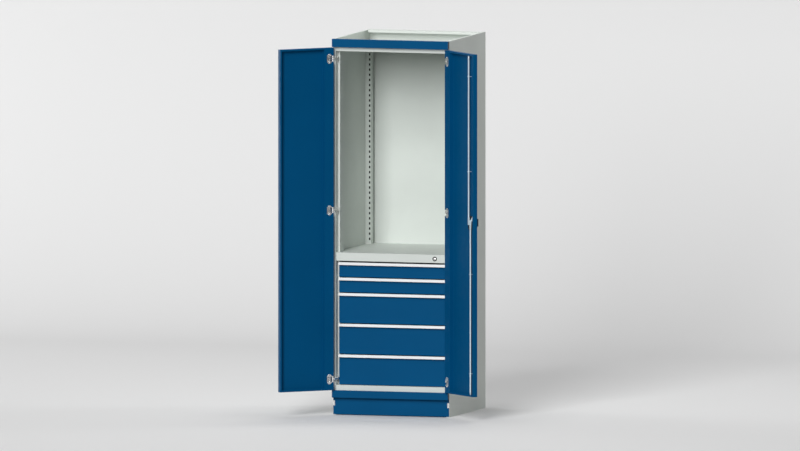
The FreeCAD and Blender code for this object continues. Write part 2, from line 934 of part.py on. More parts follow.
def rod_x(sign):
    """Rods stand on the cam's two pins: the upper one on the hinge side, the lower on the free side."""
    return f"({LOCK_X} + {sign} * rod_offset)"


def door_lock():
    """Turn handle, cam with two pins and a tongue, and the two rods with their guides."""
    inner = "(door_wall + lock_base_depth + cam_gap)"
    base = block(
        about(LOCK_X, "lock_base_width / 2"),
        skins("door_wall", "door_wall + lock_base_depth"),
        about("lock_level", "lock_base_height / 2"),
    )
    bore = rod_back(
        LOCK_X,
        skins("door_wall - cut_over", f"{inner} + cut_over"),
        "lock_level",
        "spindle_radius + pin_clearance",
    )
    node("lock_base", swing(cut(base, bore), 1))

    rose = doc.addObject("Part::Cone", "rose")
    rose.Placement = FreeCAD.Placement(FreeCAD.Vector(), FreeCAD.Rotation(UP, BACK))
    bind(
        rose,
        Radius1="handle_rim_radius",
        Radius2="handle_radius",
        Height="handle_base",
        Placement__Base__x=LOCK_X,
        Placement__Base__y=skin("-handle_gap - handle_base"),
        Placement__Base__z="lock_level",
    )
    grip = block(
        about(LOCK_X, "handle_grip_width / 2"),
        skins("-handle_reach", "-handle_gap - handle_base / 2"),
        about("lock_level", "handle_radius"),
    )
    rounded = doc.addObject("Part::Fillet", "grip")
    rounded.Base = grip
    doc.recompute()
    rounding = doc.sizes.handle_grip_rounding
    along = [i for i, edge in enumerate(grip.Shape.Edges, 1) if edge.BoundBox.YLength > 0]
    rounded.Edges = [(i, rounding, rounding) for i in along]
    spindle = rod_back(
        LOCK_X,
        skins("-handle_gap - handle_base / 2", f"{inner} + cam_thickness"),
        "lock_level",
        "spindle_radius",
    )
    node("turn_handle", swing(fuse(rose, rounded, spindle), 1))

    cam_y = skins(inner, f"{inner} + cam_thickness")
    tongue = block(("0", "tongue_length"), about("0", "cam_thickness / 2"), about("0", "tongue_width / 2"))
    tip = rod_back("tongue_length", about("0", "cam_thickness / 2"), "0", "tongue_width / 2")
    finger = fuse(tongue, tip)
    finger.Placement = FreeCAD.Placement(FreeCAD.Vector(), FreeCAD.Rotation(BACK, 1))
    bind(
        finger,
        Placement__Rotation__Angle="(tongue_angle - 180) * 1 deg",
        Placement__Base__x=LOCK_X,
        Placement__Base__y=f"({cam_y[0]}) + cam_thickness / 2",
        Placement__Base__z="lock_level",
    )
    disc = rod_back(LOCK_X, cam_y, "lock_level", "cam_radius")
    pin_y = skins(inner, f"{rod_front()} + rod_thickness + rod_gap")
    pins = [rod_back(rod_x(sign), pin_y, "lock_level", "cam_pin_radius") for sign in (-1, 1)]
    bore = rod_back(
        LOCK_X,
        skins(f"{inner} - cut_over", f"{inner} + cam_thickness + cut_over"),
        "lock_level",
        "spindle_radius + pin_clearance",
    )
    node("lock_cam", swing(cut(fuse(disc, finger, *pins), bore), 1))

    rod_y = skins(rod_front(), f"{rod_front()} + rod_thickness")
    slot_y = skins(f"{rod_front()} - cut_over", f"{rod_front()} + rod_thickness + cut_over")
    slot_half = "(cam_pin_radius + rod_slot_play)"
    guides = []
    for name, sign, ends in (
        ("upper_rod", 1, ("lock_level - rod_overlap", f"{DOOR[1]} - rod_end_gap")),
        ("lower_rod", -1, (f"{DOOR[0]} + rod_end_gap", "lock_level + rod_overlap")),
    ):
        middle = rod_x(sign)
        bar = block(about(middle, "rod_width / 2"), rod_y, ends)
        run = f"({slot_half} + rod_slot_run)"
        slot_x = (
            f"{middle} - {run if sign > 0 else slot_half}",
            f"{middle} + {slot_half if sign > 0 else run}",
        )
        node(name, swing(cut(bar, block(slot_x, slot_y, about("lock_level", slot_half))), 1))
        far = ends[1] if sign > 0 else ends[0]
        for level in (f"(lock_level + {sign} * guide_near)", f"({far} - {sign} * guide_end)"):
            guides.append(rod_guide(middle, level))
    node("rod_guides", swing(group(*guides), 1))


def rod_guide(x, level):
    """Bridge on the door's skin that a rod slides through."""
    half = "rod_width / 2 + rod_gap"
    top = f"{rod_front()} + rod_thickness + rod_gap"
    bridge = block(
        about(x, f"{half} + guide_wall"),
        skins("door_wall", f"{top} + guide_wall"),
        about(level, "guide_length / 2"),
    )
    tunnel = block(
        about(x, half),
        skins("door_wall - cut_over", top),
        about(level, "guide_length / 2 + cut_over"),
    )
    return cut(bridge, tunnel)


# Drawers and runners


FRONT_HALF = "(cabinet_width / 2 - front_post_inset + front_overlap)"
BOX_HALF = "(cabinet_width / 2 - rear_post_inset - runner_width)"
FRONT_FACE = "(front_return - front_thickness)"
RUNNER_Y = ("(front_return + runner_start)", "(front_return + runner_start + runner_length)")


def drawer_levels(large, small):
    """Bottom and top edge of a drawer's front, and its pitch's name."""
    top = f"({DRAWER_BASE} + {large} * large_pitch + {small} * small_pitch)"
    pitch = "small_pitch" if small else "large_pitch"
    return f"({top} - {pitch} + drawer_gap)", top, pitch


def runner_section(level, outer, wall, half, lip):
    """C-shaped section on the right side, open towards the drawer, round a level."""
    inner = f"{outer} - {wall}"
    low, high = about(level, half)
    return [
        (outer, low),
        (outer, high),
        (lip, high),
        (lip, f"{high} - {wall}"),
        (inner, f"{high} - {wall}"),
        (inner, f"{low} + {wall}"),
        (lip, f"{low} + {wall}"),
        (lip, low),
    ]


def drawers():
    """Five drawers with their fronts, grip strips, boxes and runners."""
    fixed = []
    for number, (large, small) in enumerate(DRAWER_TOPS, 1):
        low, top, pitch = drawer_levels(large, small)
        name = f"drawer_{number}"
        drawer_front(name, low, top)
        drawer_box(name, low, pitch)
        fixed.append(drawer_runners(name, f"({low} + box_drop + runner_rise)"))
    node("fixed_runners", group(*fixed))


def drawer_front(name, low, top):
    """Front pressed as a shallow tray, and the grip strip along its top edge."""
    wall = "drawer_wall"
    tray = block((f"-{FRONT_HALF}", FRONT_HALF), deeps(FRONT_FACE, "front_return"), (low, top))
    hollow = block(
        (f"{wall} - {FRONT_HALF}", f"{FRONT_HALF} - {wall}"),
        deeps(f"{FRONT_FACE} + {wall}", "front_return + cut_over"),
        (f"{low} + {wall}", f"{top} - {wall}"),
    )
    node(f"{name}_front", cut(tray, hollow))

    face = deep(FRONT_FACE)
    tip = deep(f"{FRONT_FACE} - strip_reach")
    bottom = f"{top} - strip_height"
    roof = f"{top} - strip_wall"
    strip = along_x(
        [
            (face, top),
            (tip, top),
            (tip, bottom),
            (f"{tip} + strip_wall", bottom),
            (f"{tip} + strip_wall", roof),
            (f"{face} - strip_wall", roof),
            (f"{face} - strip_wall", bottom),
            (face, bottom),
        ],
        (f"-{FRONT_HALF}", FRONT_HALF),
    )
    node(f"{name}_handle", strip)


def drawer_box(name, low, pitch):
    """Open box behind the front, with the catch that the locking bar holds."""
    wall = "drawer_wall"
    floor = f"({low} + box_drop)"
    rim = f"({floor} + {pitch} - box_headroom)"
    tray = block((f"-{BOX_HALF}", BOX_HALF), deeps("front_return", "front_return + box_depth"), (floor, rim))
    hollow = block(
        (f"{wall} - {BOX_HALF}", f"{BOX_HALF} - {wall}"),
        deeps(f"front_return + {wall}", f"front_return + box_depth - {wall}"),
        (f"{floor} + {wall}", f"{rim} + cut_over"),
    )
    catch_y = "(front_return + bar_setback + hook_depth + hook_play)"
    catch_z = f"({low} + hook_level + hook_height + catch_play)"
    catch = block(
        (f"{BOX_HALF} - {wall}", f"{BOX_HALF} + catch_reach"),
        deeps(catch_y, f"{catch_y} + hook_depth"),
        (catch_z, f"{catch_z} + catch_height"),
    )
    node(f"{name}_box", fuse(cut(tray, hollow), catch))


def drawer_runners(name, level):
    """Members on the drawer, middle members, and the pair on the uprights, which is returned."""
    slide = block(
        (BOX_HALF, f"{BOX_HALF} + slide_width"),
        deeps(RUNNER_Y[0], "front_return + box_depth"),
        about(level, "slide_height / 2"),
    )
    node(f"{name}_slides", pair(slide))
    wall = "runner_wall"
    lip = f"{BOX_HALF} + runner_play"
    middle_half = f"slide_height / 2 + runner_play + {wall}"
    web = f"{BOX_HALF} + slide_width + runner_play + {wall}"
    middle = runner_section(level, web, wall, middle_half, lip)
    node(f"{name}_extension", pair(along_y(middle, deeps(*RUNNER_Y))))
    fixed_half = f"{middle_half} + runner_play + {wall}"
    fixed = runner_section(level, f"{BOX_HALF} + runner_width", wall, fixed_half, f"{lip} + {wall}")
    spacer = block(
        (f"{BOX_HALF} + runner_width", "cabinet_width / 2 - front_post_inset"),
        deeps(RUNNER_Y[0], f"{FRONT_POST[1]} - sheet_wall"),
        about(level, fixed_half),
    )
    return pair(fuse(along_y(fixed, deeps(*RUNNER_Y)), spacer))


# Drawer lock


def drawer_lock_x():
    return "(cabinet_width / 2 - drawer_lock_inset)"


def drawer_lock_z():
    return f"({APRON_BOTTOM} + apron_height / 2)"


def drawer_lock():
    """Ring and barrel in the apron, turning core with a crank pin, and the bar that it lifts."""
    x, z = drawer_lock_x(), drawer_lock_z()
    ring = fuse(
        rod_back(x, deeps("apron_setback - lock_ring_reach", "apron_setback"), z, "lock_ring_radius"),
        rod_back(x, deeps("apron_setback", "apron_setback + lock_barrel_length"), z, "lock_barrel_radius"),
    )
    bore = rod_back(
        x,
        deeps("apron_setback - lock_ring_reach - cut_over", "apron_setback + lock_barrel_length + cut_over"),
        z,
        "lock_core_radius + pin_clearance",
    )
    node("lock_housing", cut(ring, bore))

    rear = "(apron_setback + lock_barrel_length + link_gap)"
    arm_y = "(front_return + bar_setback)"
    turn = "lock_crank_angle * 1 deg"
    pin_x = f"({x} + lock_crank * cos({turn}))"
    pin_z = f"({z} - lock_crank * sin({turn}))"
    core = rod_back(x, deeps("apron_setback - lock_core_reach", rear), z, "lock_core_radius")
    reach = "lock_crank + 2 * lock_pin_radius"
    crank = block(
        (f"{x} - lock_core_radius", f"{x} + {reach}"),
        deeps(rear, f"{rear} + lock_crank_plate"),
        (f"{z} - ({reach})", f"{z} + lock_core_radius"),
    )
    pin = rod_back(pin_x, deeps(rear, f"{arm_y} + bar_thickness"), pin_z, "lock_pin_radius")
    node("lock_cylinder", fuse(core, crank, pin))

    bar_x = (
        "(cabinet_width / 2 - front_post_inset - bar_gap - bar_thickness)",
        "(cabinet_width / 2 - front_post_inset - bar_gap)",
    )
    upright = block(
        bar_x,
        deeps(arm_y, f"{arm_y} + bar_width"),
        (f"{DRAWER_BASE} + bar_foot", f"{pin_z} + bar_arm_height / 2"),
    )
    arm = block(
        (f"{pin_x} - lock_crank", bar_x[1]),
        deeps(arm_y, f"{arm_y} + bar_thickness"),
        about(pin_z, "bar_arm_height / 2"),
    )
    play = "(lock_pin_radius + lock_pin_play)"
    slot = block(
        (f"{pin_x} - {play}", f"{x} + lock_crank + {play}"),
        deeps(f"{arm_y} - cut_over", f"{arm_y} + bar_thickness + cut_over"),
        about(pin_z, play),
    )
    hooks = []
    for large, small in DRAWER_TOPS:
        low = drawer_levels(large, small)[0]
        hook_z = f"({low} + hook_level)"
        hooks.append(
            block(
                (f"{BOX_HALF} + hook_play", bar_x[0]),
                deeps(arm_y, f"{arm_y} + hook_depth"),
                (hook_z, f"{hook_z} + hook_height"),
            )
        )
    node("locking_bar", cut(fuse(upright, arm, *hooks), slot))


def check_and_write():
    """Stop on any failed object or bad shape, then write each sub-part."""
    doc.recompute()
    for thing in doc.Objects:
        if "Invalid" in thing.State or "Error" in thing.State:
            raise RuntimeError(f"{thing.Label} failed: {thing.State}")
    for thing in nodes:
        if thing.Shape.isNull() or not thing.Shape.isValid() or not thing.Shape.Solids:
            raise RuntimeError(f"{thing.Label} has no valid solid")
    os.makedirs("parts", exist_ok=True)
    for thing in nodes:
        thing.Shape.exportStep(f"parts/{thing.Label}.step")
        print(thing.Label, len(thing.Shape.Solids), round(thing.Shape.Volume))


make_sheet()
side_panels()
uprights()
back_panel()
top_and_bottom()
fascia("top_fascia", TOP_FASCIA, rod_x(1), (TOP_FASCIA[0], f"{TOP_FASCIA[0]} + sheet_wall"))
fascia("bottom_fascia", LOW_FASCIA, rod_x(-1), (f"{LOW_FASCIA[1]} - sheet_wall", LOW_FASCIA[1]))
base_frame()
plinth()
middle_shelf()
hinges()
doors()
door_lock()
drawers()
drawer_lock()
check_and_write()
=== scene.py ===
"""Paints, plating and small fittings of a two-door tool cabinet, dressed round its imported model."""

import json
import math

import bmesh
import bpy
import numpy as np
from bpy.props import FloatProperty, FloatVectorProperty, PointerProperty
from bpy.types import Operator, Panel, PropertyGroup
from mathutils import Matrix, Vector


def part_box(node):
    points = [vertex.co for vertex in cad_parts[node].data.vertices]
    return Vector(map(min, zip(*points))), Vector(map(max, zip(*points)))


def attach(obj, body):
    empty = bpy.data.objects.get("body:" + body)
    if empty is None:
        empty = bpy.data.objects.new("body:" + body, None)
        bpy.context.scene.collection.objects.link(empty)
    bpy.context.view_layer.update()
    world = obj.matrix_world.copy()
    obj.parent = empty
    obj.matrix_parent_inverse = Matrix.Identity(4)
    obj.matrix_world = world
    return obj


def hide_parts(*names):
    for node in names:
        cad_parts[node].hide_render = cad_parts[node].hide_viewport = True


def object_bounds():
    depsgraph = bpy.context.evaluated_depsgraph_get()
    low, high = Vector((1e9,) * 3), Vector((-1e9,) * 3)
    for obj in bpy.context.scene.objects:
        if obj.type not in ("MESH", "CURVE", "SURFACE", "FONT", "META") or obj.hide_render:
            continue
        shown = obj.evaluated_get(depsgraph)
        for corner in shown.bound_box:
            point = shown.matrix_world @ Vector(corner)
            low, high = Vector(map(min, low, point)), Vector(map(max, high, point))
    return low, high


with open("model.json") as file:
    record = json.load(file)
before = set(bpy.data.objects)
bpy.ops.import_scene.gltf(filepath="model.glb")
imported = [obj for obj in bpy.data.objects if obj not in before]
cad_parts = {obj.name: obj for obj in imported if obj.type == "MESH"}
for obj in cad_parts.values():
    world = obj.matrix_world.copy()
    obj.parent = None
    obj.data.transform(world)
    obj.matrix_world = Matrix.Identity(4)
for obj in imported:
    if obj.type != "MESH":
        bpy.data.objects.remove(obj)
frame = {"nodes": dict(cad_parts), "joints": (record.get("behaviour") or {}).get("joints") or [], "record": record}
CAD_BOX = [list(corner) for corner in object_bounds()]

bl_info = {
    "name": "Tool cabinet looks",
    "version": (1, 0, 0),
    "blender": (4, 5, 0),
    "location": "3D View > Sidebar > Cabinet",
    "description": "Powder coats, plating, screws and lock faces of a two-door tool cabinet",
    "category": "Object",
}

JOINTS = {joint["name"]: joint for joint in frame["joints"]}
HANDS = (("left", -1), ("right", 1))
# From the doors' rest, swung open, to shut
SHUT_ANGLE = math.radians(-JOINTS["right_door_swing"]["range_deg"][0])
# Edges of the added pieces that turn by more than this stay sharp
CREASE_ANGLE = math.radians(35.0)
# Points of one surface that lie nearer than this are one point
MERGE_DISTANCE = 1e-7
# Like pieces one above the other stand further apart than this
RUN_GAP = 0.1

# Lamps: name, place and width of the soft box. The powers are the stage's settings.
LAMPS = (
    ("front", (0.0, -22.0, 7.7), 7.5),
    ("high", (0.0, -20.0, 15.0), 8.0),
    ("over", (0.0, 0.5, 7.0), 3.0),
    ("right", (9.0, 4.6, 3.2), 3.0),
    ("left", (-9.0, 3.0, 2.2), 4.0),
)
LAMP_AIM = Vector((0.0, 0.0, 0.9))

# Floor and backdrop, and the camera's place along its own right, up and back
FLOOR_HALF_WIDTH = 12.0
FLOOR_FRONT = -9.0
SWEEP_START = 3.5
SWEEP_RADIUS = 2.0
BACKDROP_TOP = 9.0
VIEW_RIGHT = -0.0455
VIEW_UP = 0.9024
VIEW_BACK = 8.0
VIEW_END = 60.0


def tint(name, description, colour):
    """A colour that a user may change."""
    return FloatVectorProperty(
        name=name, description=description, subtype="COLOR", default=colour, min=0.0, max=1.0
    )


def length(name, description, metres):
    """A length that a user may change."""
    return FloatProperty(
        name=name, description=description, subtype="DISTANCE", unit="LENGTH", default=metres, min=0.0
    )


def share(name, description, value):
    """A share from 0 to 1 that a user may change."""
    return FloatProperty(
        name=name, description=description, subtype="FACTOR", default=value, min=0.0, max=1.0
    )


def turn_angle(name, description, degrees):
    """An angle that a user may change."""
    return FloatProperty(
        name=name, description=description, subtype="ANGLE", default=math.radians(degrees)
    )


def power(name, description, watts):
    """A lamp's power that a user may change."""
    return FloatProperty(name=name, description=description, unit="POWER", default=watts, min=0.0)


class CabinetFinishes(PropertyGroup):
    """Colours and surface grain of the cabinet's finishes."""

    grey: tint("Carcass grey", "Powder coat of the carcass and the shelf", (0.69, 0.73, 0.695))
    blue: tint("Front blue", "Powder coat of doors, fascias and drawer fronts", (0.0003, 0.078, 0.206))
    box_grey: tint("Drawer grey", "Powder coat of the drawer boxes", (0.6, 0.64, 0.62))
    nickel: tint("Nickel", "Plating of the hinges and the drawer lock", (0.88, 0.875, 0.86))
    zinc: tint("Zinc", "Plating of the rods, the cam and the locking bar", (0.78, 0.90, 1.0))
    clip_steel: tint("Clip steel", "Bright spring steel of the plinth clips", (0.86, 0.86, 0.84))
    runner_steel: tint("Runner steel", "Plating of the drawer runners", (0.63, 0.64, 0.65))
    plastic: tint("Lock black", "Moulded plastic of the door lock", (0.012, 0.012, 0.014))
    strip: tint("Grip strip", "Anodised aluminium of the drawer grips", (0.9, 0.91, 0.92))
    coat_roughness: share("Coat roughness", "Mean roughness of the powder coats", 0.42)
    coat_gloss: share("Coat gloss", "Specular level of the powder coats", 0.06)
    peel: length("Peel size", "Width of the powder coat's orange peel", 0.0022)
    fold: length("Fold radius", "Rounding that light shows on folded edges", 0.0011)


class CabinetFittings(PropertyGroup):
    """Sizes of the screws, lock faces, rods, staples and caps, and of the black end pieces and sheets that paint
    shade in the fascia ends and behind the uprights' slots.
    """

    screw_radius: length("Screw radius", "Half the width of a hinge screw's head", 0.0036)
    screw_height: length("Screw height", "Height of a hinge screw's head", 0.0016)
    recess_length: length("Recess length", "Half the length of a screw's cross recess", 0.0021)
    recess_width: length("Recess width", "Half the width of a screw's cross recess", 0.00055)
    wing_screw_rise: length("Wing screw rise", "From a hinge's middle to its wing screws", 0.0165)
    cup_screw_rise: length("Cup screw rise", "From a hinge's middle to its cup screws", 0.019)
    wing_seat: length("Wing seat", "From a side's outer face to the hinge wings' inner face", 0.016)
    wing_depth: length("Wing depth", "From the front plane to the wing screws", 0.019)
    cup_inset: length("Cup inset", "From a side's outer face to a shut door's cup screws", 0.024)
    cup_seat: length("Cup seat", "From the front plane out to a shut door's cup ears", 0.0005)
    drawer_key_radius: length("Drawer key radius", "Half the width of the drawer lock's key face", 0.0064)
    handle_key_radius: length("Handle key radius", "Half the width of the turn handle's key face", 0.0046)
    rod_radius: length("Rod radius", "Half the thickness of a door rod's shank", 0.0039)
    rod_flat: length("Rod flat", "Length of a door rod's flat end on the cam", 0.034)
    rod_tip: length("Rod tip", "Length of a door rod's flat tip", 0.016)
    rod_bend: length("Rod bend", "Length over which a rod goes from round to flat", 0.014)
    staple_wire: length("Staple wire", "Half the thickness of the rods' staples", 0.0012)
    staple_play: length("Staple play", "Between a rod and its staples", 0.0006)
    sheet_wall: length("Sheet wall", "Sheet thickness of the fascias and the uprights", 0.0015)
    plug_gap: length("Plug gap", "Clearance round a fascia's end plug", 0.0002)
    plug_depth: length("Plug depth", "Thickness of a fascia's end plug", 0.0025)
    # Black sheets behind the rear uprights' slots: painted shade inside the uprights
    shade_sheet_width: length("Liner width", "Width of the black liner behind an upright's slots", 0.0135)
    shade_sheet_depth: length("Liner depth", "Thickness of that liner", 0.001)
    shade_sheet_end: length("Liner end", "From an upright's end to its liner's", 0.004)
    cap_radius: length("Cap radius", "Half the width of a wall hole's cap", 0.0068)
    cap_height: length("Cap height", "Rise of a wall hole's cap", 0.0012)
    hole_spacing: length("Hole spacing", "Between the two wall holes of the back", 0.4)
    hole_drop: length("Hole drop", "From the cabinet's top to the wall holes", 0.13)


class CabinetStage(PropertyGroup):
    """Camera, floor and lamps."""

    azimuth: turn_angle("Azimuth", "Camera's turn to the right of the front", 16.95)
    elevation: turn_angle("Elevation", "Camera's angle above the horizon", 4.71)
    view_width: length("View width", "Width that the camera takes in", 3.889)
    floor: tint("Floor", "Plain pale floor and backdrop", (0.8, 0.8, 0.8))
    bounce: tint("Floor bounce", "What the floor sends back to the cabinet", (0.3, 0.3, 0.3))
    front_power: power("Front lamp", "Power of the soft box before the cabinet", 2600.0)
    high_power: power("High lamp", "Power of the soft box high before the cabinet", 2150.0)
    over_power: power("Overhead lamp", "Power of the soft box over the cabinet", 165.0)
    right_power: power("Right lamp", "Power of the soft box to the right and behind", 270.0)
    left_power: power("Left lamp", "Power of the soft box to the left and behind", 300.0)
    sky: FloatProperty(name="Sky", description="Strength of the light from all round", default=0.05, min=0.0)


# Materials


def add(tree, kind, inputs=None, **settings):
    """A node with its settings, and its inputs set or linked."""
    made = tree.nodes.new(kind)
    for key, value in settings.items():
        setattr(made, key, value)
    for key, value in (inputs or {}).items():
        if isinstance(value, bpy.types.NodeSocket):
            tree.links.new(value, made.inputs[key])
        else:
            made.inputs[key].default_value = value
    return made


def shader(name, roughness=0.5, metallic=0.0, gloss=0.5):
    """A new material, its tree, its surface shader and the piece's own coordinates."""
    finish = bpy.data.materials.new(name)
    finish.use_nodes = True
    tree = finish.node_tree
    surface = tree.nodes["Principled BSDF"]
    surface.inputs["Roughness"].default_value = roughness
    surface.inputs["Metallic"].default_value = metallic
    surface.inputs["Specular IOR Level"].default_value = gloss
    return finish, tree, surface, add(tree, "ShaderNodeTexCoord").outputs["Object"]


def noise(tree, place, size, detail=2.0, stretch=None):
    """Noise with grains of about a size in metres, drawn out by a stretch along each axis."""
    if stretch:
        drawn = {"Vector": place, "Scale": [1 / s for s in stretch]}
        place = add(tree, "ShaderNodeMapping", drawn).outputs["Vector"]
    inputs = {"Vector": place, "Scale": 1 / size, "Detail": detail}
    return add(tree, "ShaderNodeTexNoise", inputs).outputs["Fac"]


def ramp(tree, factor, dark, light, low=0.3, high=0.7):
    """A colour that runs from dark to light as the factor goes from low to high."""
    made = add(tree, "ShaderNodeValToRGB", {"Fac": factor})
    for stop, place, colour in zip(made.color_ramp.elements, (low, high), (dark, light)):
        stop.position = place
        stop.color = (*[min(1.0, c) for c in colour], 1.0)
    return made.outputs["Color"]


def spread(tree, factor, low, high):
    """A number that runs from low to high over the middle of a noise."""
    inputs = {"Value": factor, "From Min": 0.3, "From Max": 0.7, "To Min": low, "To Max": high}
    return add(tree, "ShaderNodeMapRange", inputs).outputs["Result"]


def bump(tree, height, depth, strength, normal=None):
    """Relief of a depth in metres from a height, over another normal."""
    inputs = {"Height": height, "Distance": depth, "Strength": strength}
    if normal:
        inputs["Normal"] = normal
    return add(tree, "ShaderNodeBump", inputs).outputs["Normal"]


def rounded(tree, radius, samples=4):
    """The normal that light sees where edges are rounded to a radius in metres."""
    return add(tree, "ShaderNodeBevel", {"Radius": radius}, samples=samples).outputs["Normal"]


def link(tree, output, surface, name):
    """Join an output to one of the surface shader's inputs."""
    tree.links.new(output, surface.inputs[name])


def shade(colour, factor):
    """A colour made darker or lighter."""
    return [c * factor for c in colour]


def powder_coat(name, colour, finishes):
    """Satin powder coat: the tone drifts with broad noise, the roughness with finer noise, orange peel is
    a fine relief, and folds are rounded, with a painted highlight: a paler line along each fold."""
    drift_size, patch_size = 0.35, 0.03
    darker, lighter = 0.955, 1.045
    fold_starts, fold_full, most_pale = 0.97, 0.72, 0.35
    paling, lift = 1.2, 0.008
    rough_swing = 0.05
    peel_depth, peel_strength = 0.00012, 0.35
    finish, tree, surface, place = shader(name, gloss=finishes.coat_gloss)
    drift = noise(tree, place, drift_size, detail=4.0)
    tone = ramp(tree, drift, shade(colour, darker), shade(colour, lighter))
    round_edge = rounded(tree, finishes.fold, samples=6)
    # Painted highlight: the coat turns paler along the folds, as far as the rounded normal turns from the flat one
    flat = add(tree, "ShaderNodeNewGeometry").outputs["Normal"]
    turn = add(tree, "ShaderNodeVectorMath", {0: round_edge, 1: flat}, operation="DOT_PRODUCT")
    fall = {"From Min": fold_starts, "From Max": fold_full, "To Min": 0.0, "To Max": most_pale}
    fold_highlight = add(tree, "ShaderNodeMapRange", {"Value": turn.outputs["Value"], **fall}).outputs["Result"]
    pale = [min(1.0, paling * c + lift) for c in colour] + [1.0]
    mixed = add(tree, "ShaderNodeMix", {"Factor": fold_highlight, "A": tone, "B": pale}, data_type="RGBA")
    link(tree, mixed.outputs["Result"], surface, "Base Color")
    mean = finishes.coat_roughness
    rough = spread(tree, noise(tree, place, patch_size), mean - rough_swing, mean + rough_swing)
    link(tree, rough, surface, "Roughness")
    peel = noise(tree, place, finishes.peel, detail=1.0)
    link(tree, bump(tree, peel, peel_depth, peel_strength, round_edge), surface, "Normal")
    return finish


def plated(name, colour, roughness, stretch, finishes, metallic):
    """Bright plating: fine scratches drawn out along one axis, a little dulling in patches, rounded edges.
    A matt passivated plating is less metallic than a bright one."""
    patch_size, scratch_size = 0.012, 0.0016
    darker, lighter = 0.9, 1.06
    smoother, rougher = 0.06, 0.1
    scratch_depth, scratch_strength = 0.00004, 0.3
    finish, tree, surface, place = shader(name, metallic=metallic)
    patches = noise(tree, place, patch_size, detail=3.0)
    link(tree, ramp(tree, patches, shade(colour, darker), shade(colour, lighter)), surface, "Base Color")
    scratches = noise(tree, place, scratch_size, stretch=stretch)
    link(tree, spread(tree, scratches, roughness - smoother, roughness + rougher), surface, "Roughness")
    round_edge = rounded(tree, finishes.fold / 2)
    link(tree, bump(tree, scratches, scratch_depth, scratch_strength, round_edge), surface, "Normal")
    return finish


def anodised(name, colour, finishes):
    """Satin anodised aluminium, brushed along the cabinet's width."""
    line_size, line_stretch = 0.0009, (160.0, 1.0, 1.0)
    darker, lighter = 0.94, 1.04
    smooth, rough = 0.34, 0.5
    line_depth, line_strength = 0.00003, 0.3
    edge_share = 0.7
    finish, tree, surface, place = shader(name, metallic=0.3)
    lines = noise(tree, place, line_size, detail=3.0, stretch=line_stretch)
    link(tree, ramp(tree, lines, shade(colour, darker), shade(colour, lighter)), surface, "Base Color")
    link(tree, spread(tree, lines, smooth, rough), surface, "Roughness")
    round_edge = rounded(tree, finishes.fold * edge_share)
    link(tree, bump(tree, lines, line_depth, line_strength, round_edge), surface, "Normal")
    return finish


def moulded(name, colour, finishes):
    """Moulded plastic: a fine spark-eroded grain of small cells, and a slight drift of tone."""
    drift_size, cells_per_metre = 0.01, 1500.0
    darker, lighter = 0.8, 1.25
    smooth, rough = 0.48, 0.6
    cell_depth, cell_strength = 0.0001, 0.4
    finish, tree, surface, place = shader(name, gloss=0.4)
    drift = noise(tree, place, drift_size)
    link(tree, ramp(tree, drift, shade(colour, darker), shade(colour, lighter)), surface, "Base Color")
    grain = {"Vector": place, "Scale": cells_per_metre}
    cells = add(tree, "ShaderNodeTexVoronoi", grain).outputs["Distance"]
    link(tree, spread(tree, cells, smooth, rough), surface, "Roughness")
    round_edge = rounded(tree, finishes.fold)
    link(tree, bump(tree, cells, cell_depth, cell_strength, round_edge), surface, "Normal")
    return finish


def dress(slot, finish):
    """Give a finish to every CAD node of a record slot."""
    names = [p["node"] for p in frame["record"]["subparts"] if p["material_slot"] == slot]
    if not names:
        raise RuntimeError(f"no node has the slot {slot}")
    for name in names:
        materials = frame["nodes"][name].data.materials
        materials.clear()
        materials.append(finish)


# Surfaces


def surface_piece(name, grids, finish, body):
    """Closed surfaces as one piece. Each grid has rows from one pole to the other and columns once round,
    so its quads run between neighbouring rows and columns, and the poles close when doubles merge."""
    count, rows, columns = grids.shape[:3]
    place = np.arange(count * rows * columns).reshape(count, rows, columns)
    right = np.roll(place, -1, axis=2)
    quads = np.stack((place[:, :-1], place[:, 1:], right[:, 1:], right[:, :-1]), axis=-1).reshape(-1, 4)
    mesh = bpy.data.meshes.new(name)
    mesh.from_pydata(grids.reshape(-1, 3), [], quads)
    work = bmesh.new()
    work.from_mesh(mesh)
    bmesh.ops.remove_doubles(work, verts=work.verts, dist=MERGE_DISTANCE)
    bmesh.ops.recalc_face_normals(work, faces=work.faces)
    work.to_mesh(mesh)
    work.free()
    mesh.validate()
    mesh.polygons.foreach_set("use_smooth", np.ones(len(mesh.polygons), dtype=bool))
    mesh.set_sharp_from_angle(angle=CREASE_ANGLE)
    mesh.materials.append(finish)
    piece = bpy.data.objects.new(name, mesh)
    bpy.context.scene.collection.objects.link(piece)
    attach(piece, body)
    return piece


def set_on(heads, points, normals, acrosses):
    """Copies of a grid in its own X, Y and Z, set on points: Z lies along the normals, X along the
    acrosses."""
    uprights = np.cross(normals, acrosses)
    axes = np.stack((acrosses, uprights, normals), axis=1)
    return points[:, None, None] + np.einsum("rck,nkj->nrcj", heads, axes)


def step(value, edge, soft):
    """1 inside an edge, 0 outside, with a smooth ramp of a soft width between."""
    t = np.clip((edge - value) / soft + 0.5, 0.0, 1.0)
    return t * t * (3.0 - 2.0 * t)


def round_angles(columns):
    """Angles once round, as one row."""
    return np.linspace(0.0, 2.0 * math.pi, columns, endpoint=False)[None]


def signed_power(value, exponent):
    """A power of the size that keeps the sign: of a cosine and a sine it makes a superellipse."""
    return np.sign(value) * np.abs(value) ** exponent


def turned_disc(radius, height, rings=13, columns=40):
    """A low button: the radius grows from the top's middle to the rim and comes back along the bottom,
    and the height falls off near the rim as the fourth power of the radius."""
    rim_drop = 0.65
    out = np.linspace(0.0, 1.0, rings)
    r = np.concatenate((out, [1.0, 0.0]))[:, None] * radius
    z = np.concatenate((height * (1.0 - rim_drop * out**4), [0.0, 0.0]))[:, None]
    angle = round_angles(columns)
    return np.stack(np.broadcast_arrays(r * np.cos(angle), r * np.sin(angle), z), axis=-1)


